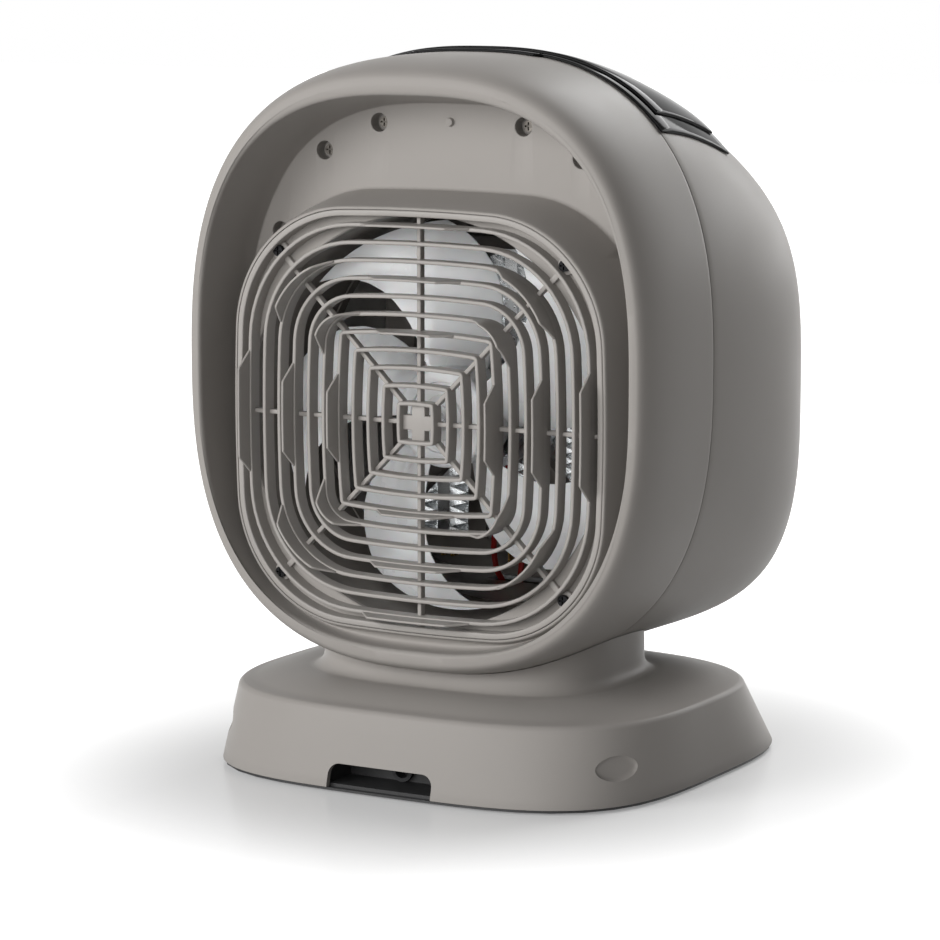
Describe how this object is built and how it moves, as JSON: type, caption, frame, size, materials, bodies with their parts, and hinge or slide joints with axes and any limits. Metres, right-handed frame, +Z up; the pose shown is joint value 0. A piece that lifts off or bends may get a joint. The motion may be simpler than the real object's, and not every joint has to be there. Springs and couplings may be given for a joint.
{
  "type": "oscillating fan heater",
  "caption": "Compact fan heater with a rear grip recess, ribbed air intake, ceramic heating block, touch panel on top and a base that swings on a hidden foot disc.",
  "frame": {"origin": "on the floor, under the middle of the base's footprint", "axes": "+Z up, +Y to the back of the heater (the ribbed air intake), +X to the right seen from the front, where the warm air leaves"},
  "size_m": [0.221, 0.2008, 0.2997],
  "materials": {
    "shell_grey": "fine satin moulded plastic, warm grey",
    "grille_grey": "satin moulded plastic, warm grey",
    "panel_black": "polished black plastic",
    "fan_plastic": "pale blue-grey moulded plastic",
    "dark_plastic": "black moulded plastic",
    "pale_plastic": "natural white gear plastic",
    "rubber_black": "soft black rubber",
    "circuit_board": "green coated circuit board",
    "duct_sheet": "formed aluminium sheet, dull",
    "heater_aluminium": "bare aluminium fins and bars",
    "terminal_brass": "stamped brass",
    "lead_red": "red silicone wire sleeve",
    "bright_steel": "plated steel",
    "screw_steel": "dark zinc plated steel"
  },
  "bodies": {
    "foot": {"foot_disc": "dark_plastic", "glide_ring": "pale_plastic", "fixed_gear": "pale_plastic", "gear_screws": "screw_steel", "rubber_feet": "rubber_black"},
    "upper": {"rear_shell": "shell_grey", "front_shell": "shell_grey", "rear_grille": "grille_grey", "grille_screws": "screw_steel", "shell_screws": "screw_steel", "outlet_grille": "grille_grey", "control_panel": "panel_black", "panel_lens": "panel_black", "control_board": "circuit_board", "board_screws": "screw_steel", "fan_motor": "bright_steel", "motor_bracket": "dark_plastic", "bracket_screws": "screw_steel", "fan_housing": "dark_plastic", "air_duct": "duct_sheet", "heater_frame": "dark_plastic", "heater_bars": "heater_aluminium", "heater_fins": "heater_aluminium", "heater_terminals": "terminal_brass", "thermal_cutout": "pale_plastic", "heater_leads": "lead_red", "base_cover": "shell_grey", "neck_screws": "screw_steel", "base_tray": "dark_plastic", "tray_screws": "screw_steel", "cord_gland": "rubber_black", "power_board": "circuit_board", "board_parts": "dark_plastic", "stepper_motor": "bright_steel", "stepper_screws": "screw_steel", "tip_switch": "dark_plastic", "plunger_spring": "bright_steel"},
    "fan_rotor": {"fan_impeller": "fan_plastic", "motor_shaft": "bright_steel"},
    "pinion": {"drive_pinion": "pale_plastic", "pinion_shaft": "bright_steel"},
    "plunger": {"tip_plunger": "pale_plastic"}
  },
  "joints": [
    {"name": "swivel", "type": "hinge", "parent": "foot", "child": "upper", "pos_m": [0, 0, 0.006], "axis": [0, 0, 1], "range_deg": [-35, 35]},
    {"name": "fan_spin", "type": "hinge", "parent": "upper", "child": "fan_rotor", "pos_m": [0, 0.03, 0.1492], "axis": [0, 1, 0], "continuous": true},
    {"name": "pinion_spin", "type": "hinge", "parent": "upper", "child": "pinion", "pos_m": [0, 0.0422, 0.012], "axis": [0, 0, 1], "range_deg": [-108, 108]},
    {"name": "tip_slide", "type": "slide", "parent": "upper", "child": "plunger", "axis": [0, 0, -1], "range_m": [0, 0.004], "stiffness_N_per_m": 40, "springref_m": 0.008, "deforming": ["plunger_spring"]}
  ],
  "couplings": [
    {"joint": "pinion_spin", "follows": "swivel", "ratio": 3}
  ]
}
